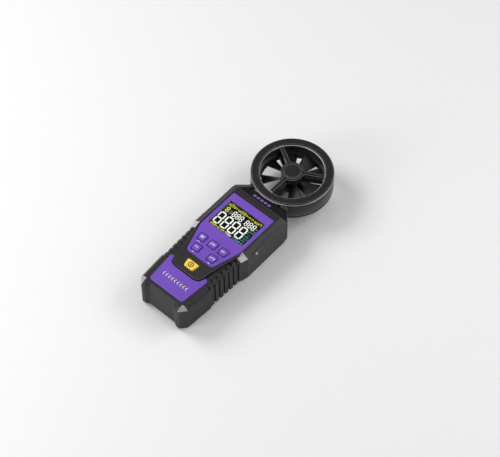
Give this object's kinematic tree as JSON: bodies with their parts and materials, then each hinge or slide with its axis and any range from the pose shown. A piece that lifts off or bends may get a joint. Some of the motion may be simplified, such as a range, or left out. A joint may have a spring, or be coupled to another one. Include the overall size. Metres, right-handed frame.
{
  "type": "handheld weather meter",
  "caption": "Handheld weather meter: a vane duct with a spinning impeller on a tapered body with a display, six press keys, rubber grips and a sliding battery door.",
  "frame": {"origin": "centre of the underside of the bounding box, with the meter lying on its back", "axes": "+X to the right of the display, +Y along the body towards the vane duct, +Z out of the display"},
  "size_m": [0.0586, 0.1652, 0.028],
  "materials": {
    "charcoal_plastic": "fine texture",
    "purple_plastic": "satin",
    "black_rubber": "matte",
    "black_plastic": "semi-gloss",
    "clear_lens": "polished",
    "display_glass": "dark",
    "white_plastic": "matte",
    "grey_plastic": "satin",
    "silicone": "matte",
    "purple_key": "satin",
    "yellow_key": "satin",
    "circuit_board": "satin",
    "black_component": "matte",
    "steel": "zinc plated",
    "battery_jacket": "gloss",
    "bronze": "sintered",
    "magnet_nickel": "plated",
    "lead_ribbon": "film"
  },
  "bodies": {
    "housing": {"front_shell": "charcoal_plastic", "rear_shell": "charcoal_plastic", "mask": "charcoal_plastic", "face_plate": "purple_plastic", "lower_plate": "purple_plastic", "left_grip": "black_rubber", "right_grip": "black_rubber", "bumper": "black_rubber", "duct_front": "black_plastic", "duct_rear": "black_plastic", "hub_cap_front": "black_plastic", "hub_cap_rear": "black_plastic", "display_window": "clear_lens", "lcd_panel": "display_glass", "lcd_frame": "white_plastic", "light_guide": "white_plastic", "connector_strip": "silicone", "keypad_mat": "silicone", "main_board": "circuit_board", "probe_board": "circuit_board", "controller": "black_component", "buzzer": "black_component", "speed_pickup": "black_component", "air_probe": "black_component", "switch_1": "black_component", "switch_2": "black_component", "switch_3": "black_component", "switch_4": "black_component", "switch_5": "black_component", "switch_6": "black_component", "board_screws": "steel", "case_screws": "steel", "head_screws": "steel", "contact_lower": "steel", "contact_upper": "steel", "battery_1": "battery_jacket", "battery_2": "battery_jacket", "side_studs": "grey_plastic", "bearing_front": "bronze", "bearing_rear": "bronze", "sensor_lead": "lead_ribbon"},
    "rotor": {"impeller": "black_plastic", "vane_shaft": "steel", "rotor_magnet": "magnet_nickel"},
    "door": {"battery_door": "charcoal_plastic"},
    "key_upper_left_cap": {"key_upper_left": "purple_key"},
    "key_upper_middle_cap": {"key_upper_middle": "purple_key"},
    "key_upper_right_cap": {"key_upper_right": "purple_key"},
    "key_lower_left_cap": {"key_lower_left": "purple_key"},
    "key_lower_right_cap": {"key_lower_right": "purple_key"},
    "power_key_cap": {"power_key": "yellow_key"}
  },
  "joints": [
    {"name": "impeller_spin", "type": "hinge", "parent": "housing", "child": "rotor", "pos_m": [0, 0.05327, 0.0184], "axis": [0, 0, 1], "continuous": true},
    {"name": "battery_door_slide", "type": "slide", "parent": "housing", "child": "door", "axis": [0, -1, 0], "range_m": [0, 0.045]},
    {"name": "key_upper_left_press", "type": "slide", "parent": "housing", "child": "key_upper_left_cap", "axis": [0, 0, -1], "range_m": [0, 0.0009], "stiffness_N_per_m": 600, "springref_m": -0.0005},
    {"name": "key_upper_middle_press", "type": "slide", "parent": "housing", "child": "key_upper_middle_cap", "axis": [0, 0, -1], "range_m": [0, 0.0009], "stiffness_N_per_m": 600, "springref_m": -0.0005},
    {"name": "key_upper_right_press", "type": "slide", "parent": "housing", "child": "key_upper_right_cap", "axis": [0, 0, -1], "range_m": [0, 0.0009], "stiffness_N_per_m": 600, "springref_m": -0.0005},
    {"name": "key_lower_left_press", "type": "slide", "parent": "housing", "child": "key_lower_left_cap", "axis": [0, 0, -1], "range_m": [0, 0.0009], "stiffness_N_per_m": 600, "springref_m": -0.0005},
    {"name": "key_lower_right_press", "type": "slide", "parent": "housing", "child": "key_lower_right_cap", "axis": [0, 0, -1], "range_m": [0, 0.0009], "stiffness_N_per_m": 600, "springref_m": -0.0005},
    {"name": "power_key_press", "type": "slide", "parent": "housing", "child": "power_key_cap", "axis": [0, 0, -1], "range_m": [0, 0.0009], "stiffness_N_per_m": 600, "springref_m": -0.0005}
  ]
}
